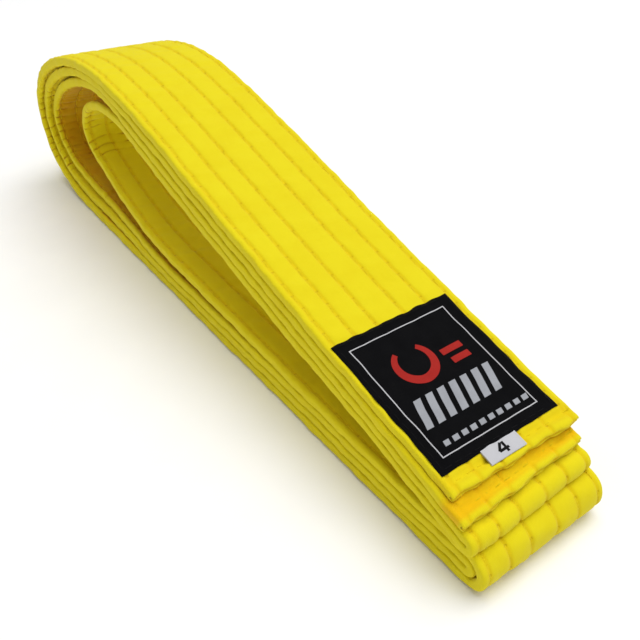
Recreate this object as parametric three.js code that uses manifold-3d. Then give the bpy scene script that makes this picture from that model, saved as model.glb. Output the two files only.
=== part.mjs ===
// A martial arts belt, folded in half three times into a flat bundle of eight layers.
// Millimetres. X runs along the bundle, with the labelled end at +X. Y runs across the belt.
// Z is up, and the bundle lies on Z = 0 with the origin below the middle of its box.
import * as THREE from "three";
import { mergeVertices } from "three/addons/utils/BufferGeometryUtils.js";
import Module from "manifold-3d";

const wasm = await Module();
wasm.setup();

// Driving dimensions of the belt itself.
const BELT_WIDTH = 40;
const THICKNESS = 2.75;
const GAP = 0.3;
const PITCH = THICKNESS + GAP; // from one layer to the next, where the bundle is pressed flat
const LOOSE_PITCH = 3.45; // and where the layers lie more loosely, towards the far loop
const COVER_WALL = 0.6; // the woven cover, with its folded seam allowance
const BUNDLE_LENGTH = 254;

// The label, its thread, the size tag and the hem stitches.
const LABEL_LENGTH = 41;
const LABEL_WIDTH = 36.5;
const LABEL_Y = -0.9;
const LABEL_THICKNESS = 0.7;
const LABEL_TO_END = 3.9; // from the label's near edge to the end of the belt
const THREAD = 0.5;
const LABEL_STITCH_INSET = 1;
const TAG_WIDTH = 10.8;
const TAG_LENGTH = 3.6;
const TAG_THICKNESS = 0.5;
const TAG_Y = -2.4;
const HEM_STITCH_INSET = 2;
const HEM_STITCH_MARGIN = 2;

// Where the bundle's layers start, bend and meet.
const NEAR_X = BUNDLE_LENGTH / 2;
const FAR_X = -BUNDLE_LENGTH / 2;
const BOTTOM_Z = THICKNESS / 2;
const STACK_TOP_Z = BOTTOM_Z + 7 * PITCH;
const STACK_END_X = NEAR_X - 8.6; // the upper four layers stop short of the lower four
const LABEL_END_SETBACK = 3.6; // the labelled end stops short of the plain end below it
const UPPER_FOLD_REACH = 1.7; // the upper near fold reaches past the two loose ends
const PRESSED_X = 100; // the layers are pressed flat from here to the near end
const LOOSE_X = 50; // and lie at the loose pitch from here to the far loop
const CREST = [-56.7, 63.5];
const CHEEK = [FAR_X + THICKNESS / 2, 24.5]; // the far loop's furthest point
const TOUCHDOWN_X = -81.9; // where the far loop comes down on the ground
const OUTER_FOLD_X = NEAR_X - THICKNESS / 2 - 1.5 * PITCH;
const INNER_FOLD_X = OUTER_FOLD_X - 2;

// Where the strip is split between the parts that move apart.
const LIFT_X = 55; // the two loose ends lift from here on
const STACK_REAR_X = -25;
const BASE_REAR_X = -79;
const POCKET_FLOOR_X = -12;
const POCKET_FRONT_X = 55; // the pocket's floor rises from here back to the innermost loop
const POCKET_RISE = 2.6;

const CURVE_STEP = 6; // length of the flats that stand for a curve
const LEVEL_STEP = 12;
const NUDGE = 1;
const FOLD_FLATS = 8;

// ---- Paths: lists of points {x, z, tx, tz} with the unit direction of travel ----

function pathPoint(position, tangent) {
  return { x: position.x, z: position.y, tx: tangent.x, tz: tangent.y };
}

function sampled(curve, pieces) {
  const points = [];
  for (let i = 0; i <= pieces; i += 1) {
    const t = i / pieces;
    points.push(pathPoint(curve.getPointAt(t), curve.getTangentAt(t)));
  }
  return points;
}

function bezier(p0, p1, p2, p3) {
  const ends = [p0, p1, p2, p3].map(([x, z]) => new THREE.Vector2(x, z));
  const curve = new THREE.CubicBezierCurve(...ends);
  return sampled(curve, Math.ceil(curve.getLength() / CURVE_STEP));
}

// From one value of x to another, at the height that a function gives.
function level(fromX, toX, height) {
  const pieces = Math.ceil(Math.abs(toX - fromX) / LEVEL_STEP);
  const run = (toX - fromX) / pieces;
  const points = [];
  for (let i = 0; i <= pieces; i += 1) {
    const x = fromX + run * i;
    const rise = (height(x + NUDGE) - height(x - NUDGE)) / (2 * NUDGE);
    const length = Math.hypot(1, rise) * Math.sign(run);
    points.push({ x, z: height(x), tx: 1 / length, tz: rise / length });
  }
  return points;
}

function joined(...stretches) {
  const points = [];
  for (const stretch of stretches) {
    points.push(...(points.length ? stretch.slice(1) : stretch));
  }
  return points;
}

// The same path moved sideways, to the left of the direction of travel.
function offset(path, distance) {
  return path.map((p) => ({ ...p, x: p.x - p.tz * distance, z: p.z + p.tx * distance }));
}

// The point at which a stretch of path crosses a given x.
function atX(path, x) {
  const i = path.findIndex((p, k) => k > 0 && (p.x - x) * (path[k - 1].x - x) <= 0);
  const [a, b] = [path[i - 1], path[i]];
  const t = (x - a.x) / (b.x - a.x);
  const mix = (key) => a[key] + (b[key] - a[key]) * t;
  const length = Math.hypot(mix("tx"), mix("tz"));
  return { x, z: mix("z"), tx: mix("tx") / length, tz: mix("tz") / length };
}

// The part of a path that runs between two values of x.
function between(path, xStart, xEnd) {
  const low = Math.min(xStart, xEnd);
  const high = Math.max(xStart, xEnd);
  const margin = 0.2;
  const inside = path.filter((p) => p.x > low + margin && p.x < high - margin);
  return [atX(path, xStart), ...inside, atX(path, xEnd)];
}

// A half-turn back over the layer below, about a centre, at a given radius.
function foldArc(centre, tangent, radius) {
  const start = Math.atan2(-tangent.tx, tangent.tz);
  const points = [];
  for (let i = 0; i <= FOLD_FLATS; i += 1) {
    const a = start + (Math.PI * i) / FOLD_FLATS;
    points.push({
      x: centre.x + radius * Math.cos(a),
      z: centre.z + radius * Math.sin(a),
      tx: -Math.sin(a),
      tz: Math.cos(a),
    });
  }
  return points;
}

// ---- Solids ----

// A strip of rectangular section along a path, as wide in Y as asked.
function strip(path, thickness, width, yCentre = 0) {
  const left = offset(path, thickness / 2);
  const right = offset(path, -thickness / 2).reverse();
  const outline = [...left, ...right].map((p) => new THREE.Vector2(p.x, p.z));
  const shape = new THREE.Shape(outline);
  const geometry = new THREE.ExtrudeGeometry(shape, { depth: width, bevelEnabled: false, steps: 1 });
  geometry.rotateX(Math.PI / 2);
  geometry.translate(0, yCentre + width / 2, 0);
  return geometry;
}

function toSolid(geometry) {
  const bare = geometry.clone();
  bare.deleteAttribute("normal");
  bare.deleteAttribute("uv");
  const merged = mergeVertices(bare, 1e-4);
  return new wasm.Manifold(
    new wasm.Mesh({
      numProp: 3,
      vertProperties: merged.attributes.position.array,
      triVerts: new Uint32Array(merged.index.array),
    }),
  );
}

function toGeometry(solid) {
  const mesh = solid.getMesh();
  const geometry = new THREE.BufferGeometry();
  geometry.setAttribute("position", new THREE.BufferAttribute(mesh.vertProperties, 3));
  geometry.setIndex(new THREE.BufferAttribute(mesh.triVerts, 1));
  geometry.computeVertexNormals();
  return geometry;
}

function cut(geometry, tool) {
  return toGeometry(toSolid(geometry).subtract(toSolid(tool)));
}

// A path carried straight on past one or both of its ends, or pulled in by a negative length.
function extended(path, startBy, endBy) {
  const move = (p, by) => ({ ...p, x: p.x + p.tx * by, z: p.z + p.tz * by });
  const middle = path.slice(1, -1);
  return [move(path[0], -startBy), ...middle, move(path.at(-1), endBy)];
}

// ---- Materials ----

const material = (color, roughness) =>
  new THREE.MeshStandardMaterial({ color, roughness, metalness: 0 });
const cotton = material(0xf2e024, 0.85);
const batting = material(0xe9e4d2, 0.95);
const thread = material(0xd9b61c, 0.8);
const wovenBlack = material(0x101012, 0.75);
const whiteThread = material(0xe6e6e8, 0.7);
const satin = material(0xd8d8dc, 0.55);

const belt = new THREE.Group();

function add(name, geometry, finish) {
  const mesh = new THREE.Mesh(geometry, finish);
  mesh.name = name;
  belt.add(mesh);
}

// One stretch of belt: a woven cover, open where the belt carries on and closed by a hem
// where it ends, with a flat core inside it that stays clear of the cover all round.
function beltStretch(name, path, { hemAtStart = false } = {}) {
  const beyond = 1;
  const startBy = hemAtStart ? -COVER_WALL : beyond;
  const bore = strip(
    extended(path, startBy, beyond),
    THICKNESS - 2 * COVER_WALL,
    BELT_WIDTH - 2 * COVER_WALL,
  );
  add(`${name}_cover`, cut(strip(path, THICKNESS, BELT_WIDTH), bore), cotton);
  const core = strip(
    extended(path, hemAtStart ? -COVER_WALL - GAP : 0, 0),
    THICKNESS - 2 * (COVER_WALL + GAP),
    BELT_WIDTH - 2 * (COVER_WALL + GAP),
  );
  add(`${name}_core`, core, batting);
}

// ---- The bundle's paths ----

const topRun = bezier([STACK_END_X, STACK_TOP_Z], [10.1, 46.6], [-24.9, CREST[1]], CREST);
const farLoop = joined(
  bezier(CREST, [-88, CREST[1]], [CHEEK[0], 46], CHEEK),
  bezier(CHEEK, [CHEEK[0], 8.5], [-107, BOTTOM_Z], [TOUCHDOWN_X, BOTTOM_Z]),
);
const split = GAP / 2;

// How far a value has come on the way from a start to an end, from 0 to 1.
const progress = (x, start, end) => Math.min(Math.max((x - start) / (end - start), 0), 1);

function pitchAt(x) {
  return PITCH + (LOOSE_PITCH - PITCH) * progress(x, PRESSED_X, LOOSE_X);
}

// The path of the layer that lies k layers inside a given one.
const nested = (path, k) => path.map((p) => offset([p], k * pitchAt(p.x))[0]);
const upper = (k) => nested(topRun, k);

// The height of a lower layer, counted from the ground. The fourth is the pocket's floor.
function layerZ(k, x) {
  const rise = k === 3 ? POCKET_RISE * progress(x, POCKET_FRONT_X, POCKET_FLOOR_X) : 0;
  return BOTTOM_Z + k * pitchAt(x) + rise;
}

// The far end: three loops nested tightly in each other.
["outer", "second", "third"].forEach((which, k) => {
  const top = between(upper(k), STACK_REAR_X - split, upper(k).at(-1).x + 0.1);
  const floor = level(TOUCHDOWN_X, BASE_REAR_X - split, (x) => layerZ(k, x));
  const loop = joined(top, nested(farLoop, k), floor);
  beltStretch(`far_loop_${which}`, loop);
});

// The innermost loop turns back early and leaves a pocket on each side of itself.
const innerTurnX = -33;
const innerCheek = [-86.4, 33];
const innerTop = between(upper(3), STACK_REAR_X - split, innerTurnX);
const turn = innerTop.at(-1);
const innerLoop = joined(
  innerTop,
  bezier(
    [turn.x, turn.z],
    [turn.x + turn.tx * 22, turn.z + turn.tz * 22],
    [innerCheek[0], 47],
    innerCheek,
  ),
  bezier(
    innerCheek,
    [innerCheek[0], 24.5],
    [-60, 20],
    [POCKET_FLOOR_X - split, layerZ(3, POCKET_FLOOR_X)],
  ),
);
beltStretch("far_loop_inner", innerLoop);

// The two loose ends lie on top: the labelled end, and the plain end below it.
const labelEndX = atX(upper(0), STACK_END_X - LABEL_END_SETBACK).x;
const labelEndPath = between(upper(0), labelEndX, LIFT_X + split);
const plainEndPath = between(upper(1), upper(1)[0].x, LIFT_X + split);
beltStretch("label_end", labelEndPath, { hemAtStart: true });
beltStretch("plain_end", plainEndPath, { hemAtStart: true });
beltStretch("top_run", between(upper(0), LIFT_X - split, STACK_REAR_X + split));
beltStretch("second_run", between(upper(1), LIFT_X - split, STACK_REAR_X + split));

// The third and fourth layers are joined by a near fold.
const back = (path) => path.map((p) => ({ ...p, tx: -p.tx, tz: -p.tz })).reverse();
const reaching = (k) => extended(upper(k), UPPER_FOLD_REACH, 0);
const thirdRun = between(reaching(2), reaching(2)[0].x, STACK_REAR_X + split);
const fourthRun = back(between(reaching(3), reaching(3)[0].x, STACK_REAR_X + split));
const upperArc = foldArc(reaching(2.5)[0], fourthRun.at(-1), PITCH / 2);
beltStretch("upper_fold", joined(fourthRun, upperArc, thirdRun));

// The four lower layers are two near folds, one inside the other.
function lowerFold(name, foldX, k, rearLowX, rearHighX) {
  const radius = (1.5 - k) * PITCH;
  const centre = { x: foldX, z: layerZ(1.5, foldX) };
  const arc = foldArc(centre, { tx: 1, tz: 0 }, radius);
  const low = level(rearLowX, foldX, (x) => layerZ(k, x));
  const high = level(foldX, rearHighX, (x) => layerZ(3 - k, x));
  beltStretch(name, joined(low, arc, high));
}
lowerFold("lower_fold_outer", OUTER_FOLD_X, 0, BASE_REAR_X + split, POCKET_FLOOR_X + split);
lowerFold("lower_fold_inner", INNER_FOLD_X, 1, BASE_REAR_X + split, BASE_REAR_X + split);

// ---- What is sewn on ----

const faceOffset = -(THICKNESS / 2 + GAP + LABEL_THICKNESS / 2);
const labelNearX = labelEndX - LABEL_TO_END;
const labelFace = offset(upper(0), faceOffset);
const labelPath = between(labelFace, labelNearX, labelNearX - LABEL_LENGTH);
add("label", strip(labelPath, LABEL_THICKNESS, LABEL_WIDTH, LABEL_Y), wovenBlack);

// The label's thread is one closed line of stitches just inside its edge.
const threadFace = offset(labelFace, -(LABEL_THICKNESS + THREAD) / 2 - GAP);
const threadPath = between(
  threadFace,
  labelNearX - LABEL_STITCH_INSET,
  labelNearX - LABEL_LENGTH + LABEL_STITCH_INSET,
);
const threadWidth = LABEL_WIDTH - 2 * LABEL_STITCH_INSET;
const threadInside = extended(threadPath, -THREAD, -THREAD);
const threadHole = strip(threadInside, 3 * THREAD, threadWidth - 2 * THREAD, LABEL_Y);
const threadBand = strip(threadPath, THREAD, threadWidth, LABEL_Y);
add("label_stitching", cut(threadBand, threadHole), whiteThread);

// The tag lies over the hem's stitches.
const tagFace = offset(upper(0), -(THICKNESS / 2 + 2 * GAP + (THREAD + TAG_THICKNESS) / 2));
const tagPath = between(tagFace, labelNearX + GAP + TAG_LENGTH, labelNearX + GAP);
add("size_tag", strip(tagPath, TAG_THICKNESS, TAG_WIDTH, TAG_Y), satin);

// A row of stitches closes the hem at each end of the belt.
function hemStitches(name, layer, endX) {
  const face = offset(layer, -(THICKNESS / 2 + GAP + THREAD / 4));
  const row = between(face, endX - HEM_STITCH_INSET + THREAD, endX - HEM_STITCH_INSET);
  add(name, strip(row, THREAD / 2, BELT_WIDTH - 2 * HEM_STITCH_MARGIN), thread);
}
hemStitches("label_end_hem_stitches", upper(0), labelEndX);
hemStitches("plain_end_hem_stitches", upper(1), upper(1)[0].x);

export default belt;
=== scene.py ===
"""The looks of a folded martial arts belt: quilted cotton, seams, woven label and size tag.

Shapes are worked out in millimetres and put into Blender in metres.
"""
import math

import bmesh
import bpy
import numpy as np
from mathutils import Matrix, Vector


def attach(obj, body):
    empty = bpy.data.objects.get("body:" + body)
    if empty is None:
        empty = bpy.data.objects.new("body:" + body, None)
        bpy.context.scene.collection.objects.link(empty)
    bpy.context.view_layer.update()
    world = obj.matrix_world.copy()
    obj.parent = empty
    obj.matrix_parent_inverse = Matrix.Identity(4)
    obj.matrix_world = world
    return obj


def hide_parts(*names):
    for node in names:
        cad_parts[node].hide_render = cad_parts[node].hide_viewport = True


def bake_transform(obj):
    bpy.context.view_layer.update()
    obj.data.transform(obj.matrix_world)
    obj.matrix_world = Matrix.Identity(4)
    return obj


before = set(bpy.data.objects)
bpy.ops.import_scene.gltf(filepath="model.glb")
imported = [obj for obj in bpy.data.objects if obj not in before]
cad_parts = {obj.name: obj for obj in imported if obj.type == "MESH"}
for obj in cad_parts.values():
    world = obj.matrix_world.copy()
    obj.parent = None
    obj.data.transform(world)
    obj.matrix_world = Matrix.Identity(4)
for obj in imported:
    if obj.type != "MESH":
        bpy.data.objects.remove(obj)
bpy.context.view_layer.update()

MM = 0.001

# ---- Camera ----
CAMERA_AT = (0.19059, -0.10533, 0.15739)
CAMERA_HEADING = 145.105  # degrees from +X
CAMERA_PITCH = -37.706
CAMERA_ROLL = -1.39
LENS = 45.0

# ---- The belt's section ----
WIDTH = 40.0
HALF_WIDTH = WIDTH / 2
PITCH = 3.05
LOOSE_PITCH = 3.45
LAYER_GAP = 0.07
EDGE_RADIUS = 1.05
EDGE_SHARE = 0.56  # of the half thickness, left at the very edge
ROWS = (-18.0, -11.7, -4.8, 3.8, 11.1, 18.0)  # where the seams run
GROOVE_DEPTH = 0.38
GROOVE_WIDTH = 0.5
GROOVE_HOLES = 0.28  # how much a groove varies, deepest at the needle holes
CHANNEL_WIDTH = 0.8  # from a seam to where the quilting is full
CHANNEL_SHARE = 0.1
CHANNEL_AT_EDGE = 0.35
PUCKER = 0.19
PUCKER_GAP = 1.5
PUCKER_WAVES = (4.7, 6.1, 9.3)
RIPPLE = 0.12
RIPPLE_WAVES = (9.7, 15.1, 27.0)
FOLD_SWELL = 0.12
FOLD_BEND = (0.04, 0.2)  # the bends at which the outside of a fold starts and ends to swell
SWELL_WAVES = (3.1, 5.3)
CREASE_DEPTH = 0.75
CREASE_PITCH = 3.4
CREASE_BEND = (0.009, 0.03)
UNCREASED_BEND = (0.12, 0.2)  # pressed folds bend more sharply than this and don't crease
WIDTH_WAVES = ((0.16, 2, (61.0, 23.0)), (0.1, 5, (11.0, 7.0)))  # size, seed, wavelengths
EDGE_PLACES = (HALF_WIDTH, 19.93, 19.7, 19.35, 18.9)
SEAM_PLACES = (-1.15, -0.7, -0.4, -0.18, 0, 0.18, 0.4, 0.7, 1.15)
PLACES_BETWEEN = 3

# ---- The hems, and the steps along the belt ----
HEM_INSET = 2.2
HEM_GROOVE = 0.6
HEM_GROOVE_WIDTH = 0.8
HEM_HALF_WIDTH = 19
HEM_DENT = 0.5
DENT_GAP = 3.0
DENT_WIDTH = 1.9
DENT_WAVES = (11.0, 7.3)
HEM_RIDGE = 0.22
HEM_RIDGE_INSET = 0.7
HEM_LEVELS = (0.85, 0.6, 0.35, 0.12, 0.0, -0.12, -0.35, -0.6, -0.85)
LIP = 0.9
LIP_LEVEL = 0.5  # each lip's middle, where 1 is the face and 0 the belt's middle
LIP_WAVES = (5.1, 8.7, 13.0)
LIP_UNEVEN = 0.35
END_WAVE = 0.45
END_WAVES = (17.0, 9.0, 29.0)
END_LEAST = 0.02
HEM_PAINTED_SHADE_FROM = (0.1, 1.1)  # a hem's painted shade, a warmer yellow, fades in over this distance from its end
HEM_PAINTED_SHADE_TO = (7.5, 4.5)  # and out over this one
# Painted shade: how wide it is in the gap between a hem's two lips, and how much of it the labelled
# end's hem gets
LIP_GAP_PAINTED_SHADE_WIDTH = 0.2
LABEL_END_PAINTED_SHADE = 0.25
STEP = 1.0
LOOP_STEP = 0.5
FOLD_STEP = 0.32

# ---- The stitches ----
STITCH = 4.6
STITCH_LENGTH = 4.0
STITCH_RISE = 0.16
ROW_SHIFT = 0.37  # of a stitch, from each row to the next
FACE_SHIFT = 0.21  # of a stitch, from one face to the other
STITCH_MARGIN = 0.3
THREAD_RADIUS = 0.17
THREAD_SIDES = 6
THREAD_POINTS = 6
THREAD_TAPER = 0.55
THREAD_MAP_STEP = 0.8
HEM_STITCH = 3.1
HEM_STITCH_V = (-17.4, 17.0)
HEM_STITCH_RISE = 0.14

# ---- The bundle's line, seen from the side ----
NEAR_X = 127.0
FAR_X = -127.0
BOTTOM_Z = 1.72
A_END_X = 114.8
TOP_START = (118.1, 22.6)
TOP_HANDLES = ((10.1, 46.6), (-24.9, 63.5))
CREST = (-56.7, 63.5)
CHEEK = (FAR_X + 1.4, 24.5)
TURN_HANDLES = ((-88, CREST[1]), (CHEEK[0], 46))
FALL_HANDLES = ((CHEEK[0], 8.5), (-107, BOTTOM_Z))
TOUCHDOWN_X = -81.9
RUN_ON = 6  # how far a layer is carried straight on, before it is cut
UPPER_STACK_Z = 12.2
STACK_REAR_X = -25.0
BASE_REAR_X = -79.0
POCKET_FLOOR_X = -12.0
POCKET_FRONT_X = 62.0
POCKET_RISE = 2.9
POCKET_RISEN_X = POCKET_FLOOR_X - 22
INNER_TURN_X = -33.0
INNER_CHEEK = (-86.2, 33.0)
INNER_OVER_REACH = 22
INNER_OVER_Z = 47.5
INNER_UNDER_REACH = 46
INNER_UNDER_Z = 24.3
OUTER_FOLD_X = NEAR_X - 1.375 - 1.5 * PITCH
INNER_FOLD_X = OUTER_FOLD_X - 0.3
FOLD_REACH = 1.7
LOOSENS_X = (104.0, 46.0)  # from pressed flat to loose
LOOP_GAP = 0.4  # between the outer two layers and the inner ones, except at the near end
LOOP_GAP_X = (60, 0)
SLACK = 0.15  # the far loops lie a little apart at the turn
SLACK_X = (-40, -115)
SLIPS = (0.0, 1.5, 3.4, 3.6)  # how far each layer has slipped sideways at the far end
SLIP_X = (-18, -84)
LEAN = -0.124  # the far loops lean over to one side
LEAN_X = 7
LEAN_REACH = 120
LOOP_HEIGHT = 64.9
NEAR_SLIPS = (0.0, -1.3, -1.1, -1.0)  # the upper layers have slipped a little at the near end too
NEAR_SKEWS = (0.0, 0.055, 0.05, 0.05)  # and lie a little askew
BASE_SKEW = 0.02
NEAR_SHIFT_X = (70, 118)
SKEW_CENTRE = 12
TOUCHING = 0.05  # points of two paths that are closer than this are one
SAME_POINT = 0.03
CURVE_POINTS = 240
TOP_POINTS = 400
FOLD_POINTS = 61
# Painted shade: the left faces of these pieces, inside the far loops and on the pocket's floor, are
# tinted orange and darkened
PAINTED_SHADE_PIECES = (
    "far_loop_third_strip",
    "far_loop_inner_strip",
    "lower_fold_inner_strip",
    "lower_fold_outer_strip",
)
DEEP_PAINTED_SHADE_TINT = 0.9
DEEP_SHADE = 0.55
DEEP_EDGE_V = (HALF_WIDTH - 0.5, HALF_WIDTH - 1.6)
DEEP_FAR_X = (-25, -60)
DEEP_FLOOR_X = (70, 20)
DEEP_FLOOR_Z = (24, 16)

# ---- The label and the tag ----
LABEL_NEAR_S = 4.0  # along the belt from the labelled end
LABEL_LENGTH = 41.0
LABEL_WIDTH = 36.5
LABEL_Y = (-19.15, 17.35)
LABEL_BASE = 1.66
LABEL_DIP = 0.16
LABEL_THICKNESS = 0.4
BORDER_S = (7.2, 41.4)
BORDER_V = (-16.3, 13.3)
BORDER_WIDTH = 0.27
RING_AT = (31.0, -4.5)
RING_RADIUS = 5.0
RING_WIDTH = 2.4
RING_START = 40
RING_SWEEP = 285
RING_BARS_S = (29.2, 31.0)
RING_BAR_PITCH = 3.2
RING_BARS_V = (3.2, 9.6)
BAR_COUNT = 7
BAR_PITCH = 3.6
BAR_FIRST_V = -13.4
BAR_WIDTH = 2.1
BAR_S = (14.6, 22.4)
BAR_SLANT = 2.4
DASH_COUNT = 10
DASH_PITCH = 2.75
DASH_FIRST_V = -13.6
DASH_WIDTH = 1.7
DASH_S = (9.2, 10.6)
DASH_SLANT = 0.3
BAR_RISE = 0.07
RING_RISE = 0.08
YARN_SINK = 0.1  # how deep the woven marks reach into the label
EDGE_STITCH = 2.9
EDGE_STITCH_INSET = 1.0
EDGE_THREAD_RADIUS = 0.13
TAG_Y = (-7.8, 3.0)
TAG_REAR_S = 5.0
TAG_FOLD_S = 0.55
TAG_LOW = 1.62
TAG_TURN = 0.14
TAG_THICKNESS = 0.16
TAG_ROWS = 14
TAG_COLUMNS = 26
TAG_WAVE = 0.07
TAG_WAVES = (9.0, 5.5)
TAG_STROKES = (((3.7, -2.4), (1.9, -3.9)), ((1.9, -3.9), (1.9, -1.1)), ((3.7, -1.9), (0.95, -1.9)))
STROKE_HALF = 0.34
SHARP_ANGLE = 50

# ---- Colours ----
COTTON = (0.83, 0.71, 0.010)
COTTON_DEEP = (0.80, 0.65, 0.006)
COTTON_YARN = (0.70, 0.54, 0.005)
# Painted shade in the seam grooves, mixed in towards each seam
SEAM_GROOVE_PAINTED_SHADE = (0.76, 0.53, 0.003)
# Painted shade in the needle holes
NEEDLE_HOLE_PAINTED_SHADE = (0.50, 0.28, 0.002)
# Painted warm shade near the hems, between their lips, and inside the far loops and the pocket
WARM_PAINTED_SHADE = (0.84, 0.52, 0.003)
# Painted shade in the creases, also used for the painted shade inside the far loops and the pocket
CREASE_PAINTED_SHADE = (0.40, 0.13, 0.002)
THREAD_LIGHT = (0.83, 0.68, 0.008)
THREAD_DARK = (0.76, 0.56, 0.004)
LABEL_BLACK = (0.003, 0.003, 0.004)
LABEL_DARK = (0.0015, 0.0015, 0.002)
YARN_WHITE = ((0.80, 0.80, 0.82), (0.52, 0.52, 0.54))
YARN_GREY = ((0.56, 0.58, 0.62), (0.30, 0.31, 0.34))
YARN_RED = ((0.60, 0.03, 0.02), (0.34, 0.012, 0.01))
TAPE_LIGHT = (0.66, 0.66, 0.68)
TAPE_DARK = (0.50, 0.50, 0.53)
FLOOR_WHITES = ((0.96, 0.96, 0.96), (0.98, 0.98, 0.98))

# ---- Weaves: scales per metre, pitches in millimetres ----
COTTON_CLOUDS = 90.0
COTTON_WRINKLES = 330.0
COTTON_FIBRES = 1900.0
COTTON_YARN_PITCH = 0.42
WOVEN_CLOUDS = 160.0
LABEL_PITCH = 0.36
YARN_PITCH = 0.3
TAPE_PITCH = 0.25
THREAD_FUZZ = 2600.0
PLY_TWIST = 9000.0
PLY_TURN = 6283.0  # one turn in a millimetre of the map

# ---- Studio ----
FLOOR_HALF = 4.0
FLOOR_Z = -0.0002
SKY = 0.33
LIGHTS = (
    ("key", (0.25, 0.45, 2.35), (2.2, 2.2), 55.0),
    ("fill", (-0.3, -1.6, 0.9), (1.2, 0.8), 1.0),
)

# ---- Where the cloth would bend over a joint; the pieces there are baked in place and don't bend ----
BLEND_START_X = 45.0
BLEND_END_X = 69.0
LIFT_BLEND_Z = 0.035  # metres, as the next line
LOOP_BLEND_Z = (0.0175, 0.044)


def smooth(x, start, end):
    t = np.clip((np.asarray(x, float) - start) / (end - start), 0, 1)
    return t * t * (3 - 2 * t)


def bump(x, centre, width):
    return np.exp(-(((np.asarray(x, float) - centre) / width) ** 2))


def pressed_pitch(x):
    return PITCH + (LOOSE_PITCH - PITCH) * smooth(x, *LOOSENS_X)


def pitch_at(x):
    return pressed_pitch(x) + SLACK * smooth(x, *SLACK_X)


def thickness_at(x):
    return pressed_pitch(x) - LAYER_GAP


def unit(vectors):
    return vectors / np.linalg.norm(vectors, axis=-1)[..., None]


# ---- Paths: arrays of (x, z) ----

def bezier(p0, p1, p2, p3, count=CURVE_POINTS):
    t = np.linspace(0, 1, count)[:, None]
    p0, p1, p2, p3 = (np.array(p, float) for p in (p0, p1, p2, p3))
    near = (1 - t) ** 3 * p0 + 3 * (1 - t) ** 2 * t * p1
    return near + 3 * (1 - t) * t * t * p2 + t ** 3 * p3


def join(*parts):
    out = parts[0]
    for part in parts[1:]:
        touching = np.hypot(*(part[0] - out[-1])) < TOUCHING
        out = np.concatenate([out, part[1:] if touching else part])
    return out


def lengths(path):
    steps = np.hypot(*np.diff(path, axis=0).T)
    return np.concatenate([[0], np.cumsum(steps)])


def directions(path):
    return unit(np.gradient(path, lengths(path), axis=0))


def inset(path, k):
    """The layer that lies k layers inside a path, on its left."""
    d = directions(path)
    left = np.stack([-d[:, 1], d[:, 0]], 1)
    apart = LOOP_GAP * smooth(path[:, 0], *LOOP_GAP_X) if k > 1 else 0
    return path + left * (k * pitch_at(path[:, 0]) + apart)[:, None]


def clip(path, x_start, x_end):
    """The part of a path between its first crossing of one x and its last crossing of another."""
    def crossing(x, which):
        signs = np.sign(path[:, 0] - x)
        k = np.nonzero(signs[:-1] * signs[1:] <= 0)[0][which]
        a, b = path[k], path[k + 1]
        return k, a + (b - a) * np.clip((x - a[0]) / (b[0] - a[0]), 0, 1)

    i, start = crossing(x_start, 0)
    j, end = crossing(x_end, -1)
    middle = path[i + 1:j + 1]
    keep = np.hypot(*(middle - start).T) > SAME_POINT
    keep &= np.hypot(*(middle - end).T) > SAME_POINT
    return np.concatenate([[start], middle[keep], [end]])


def ground(k, x_from, x_to):
    """A layer of the lower stack. The fourth is the pocket's floor, which rises to the rear."""
    x = np.linspace(x_from, x_to, max(int(abs(x_to - x_from) * 2), 8))
    z = BOTTOM_Z + k * pitch_at(x)
    if k == 3:
        z = z + POCKET_RISE * smooth(x, POCKET_FRONT_X, POCKET_RISEN_X)
    return np.stack([x, z], 1)


def near_fold(start, end):
    """A half-turn that bulges to +X, from one layer's end to another's."""
    start, end = np.array(start), np.array(end)
    middle, reach = (start + end) / 2, (end - start) / 2
    a = np.linspace(0, math.pi, FOLD_POINTS)[:, None]
    out = np.array([abs(reach[1]), -reach[0] * np.sign(reach[1])])
    return middle - reach * np.cos(a) + out * np.sin(a)


def outer_line():
    """The outermost layer, over the top and round the far loop to the bottom."""
    top = bezier(TOP_START, *TOP_HANDLES, CREST, TOP_POINTS)
    turn = bezier(CREST, *TURN_HANDLES, CHEEK)
    fall = bezier(CHEEK, *FALL_HANDLES, (TOUCHDOWN_X, BOTTOM_Z))
    return join(top, turn, fall, ground(0, TOUCHDOWN_X, BASE_REAR_X + 20))


def upper_run(k, x_from, x_to):
    """An upper layer from its near end back to x_to, carried straight on if it has to be."""
    line = inset(outer_line(), k)
    top = line[:int(np.argmin(np.hypot(line[:, 0] - CHEEK[0], line[:, 1] - CHEEK[1])))]
    ahead = top[0] - directions(top)[0] * RUN_ON
    return clip(np.concatenate([[ahead], top]), x_from, x_to)


def inner_loop():
    """The innermost far loop turns back early, between the pocket's roof and its floor."""
    top = upper_run(3, STACK_REAR_X, INNER_TURN_X)
    turn, way = top[-1], directions(top)[-1]
    over = bezier(turn, turn + way * INNER_OVER_REACH, (INNER_CHEEK[0], INNER_OVER_Z), INNER_CHEEK)
    floor = ground(3, POCKET_FLOOR_X, POCKET_FLOOR_X - 2)
    slope = floor[-1] - floor[0]
    reach = slope / np.hypot(*slope) * INNER_UNDER_REACH
    under = bezier(INNER_CHEEK, (INNER_CHEEK[0], INNER_UNDER_Z), floor[0] + reach, floor[0])
    return join(top, over, under)


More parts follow.
